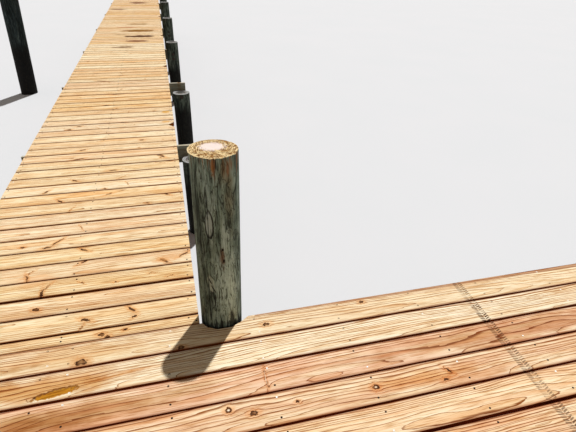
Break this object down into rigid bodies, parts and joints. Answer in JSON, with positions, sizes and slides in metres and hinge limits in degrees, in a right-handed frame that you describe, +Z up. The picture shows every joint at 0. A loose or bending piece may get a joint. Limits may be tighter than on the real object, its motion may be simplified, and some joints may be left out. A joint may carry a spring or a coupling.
{
  "type": "wooden jetty",
  "caption": "T-headed timber jetty: board walkway in bays on round piles with caps and stringers, a wide head with tall corner piles, and a mooring pile beside it.",
  "frame": {"origin": "middle of the whole jetty's box, at the level of the pile feet", "axes": "+Y along the walkway from the head to the shore, +X to the right of it, +Z up"},
  "size_m": [6.5798, 17.5675, 2.2566],
  "materials": {
    "deck_pine": "fresh pressure-treated pine deck boards, planed, with eased edges",
    "framing_pine": "pressure-treated pine framing, sawn",
    "cap_timber": "older treated timber caps, weathered grey-brown",
    "pile_timber": "round treated timber piles, grey-green with drying checks and dark wet feet"
  },
  "bodies": {
    "root": {"head_deck": "deck_pine", "head_joists": "framing_pine", "head_headers": "framing_pine", "head_front_cap": "cap_timber", "head_back_cap": "cap_timber", "head_front_inner_pile_left": "pile_timber", "head_front_inner_pile_right": "pile_timber", "head_front_outer_pile_left": "pile_timber", "head_front_outer_pile_right": "pile_timber", "head_back_inner_pile_left": "pile_timber", "head_back_inner_pile_right": "pile_timber", "head_back_outer_pile_left": "pile_timber", "head_back_outer_pile_right": "pile_timber", "bay_1_deck": "deck_pine", "bay_2_deck": "deck_pine", "bay_3_deck": "deck_pine", "bay_4_deck": "deck_pine", "bay_5_deck": "deck_pine", "bay_6_deck": "deck_pine", "bay_1_stringers": "framing_pine", "bay_2_stringers": "framing_pine", "bay_3_stringers": "framing_pine", "bay_4_stringers": "framing_pine", "bay_5_stringers": "framing_pine", "bay_6_stringers": "framing_pine", "bent_1_cap": "cap_timber", "bent_2_cap": "cap_timber", "bent_3_cap": "cap_timber", "bent_4_cap": "cap_timber", "bent_5_cap": "cap_timber", "bent_6_cap": "cap_timber", "bent_1_pile_left": "pile_timber", "bent_1_pile_right": "pile_timber", "bent_2_pile_left": "pile_timber", "bent_2_pile_right": "pile_timber", "bent_3_pile_left": "pile_timber", "bent_3_pile_right": "pile_timber", "bent_4_pile_left": "pile_timber", "bent_4_pile_right": "pile_timber", "bent_5_pile_left": "pile_timber", "bent_5_pile_right": "pile_timber", "bent_6_pile_left": "pile_timber", "bent_6_pile_right": "pile_timber", "mooring_pile": "pile_timber"}
  },
  "joints": []
}
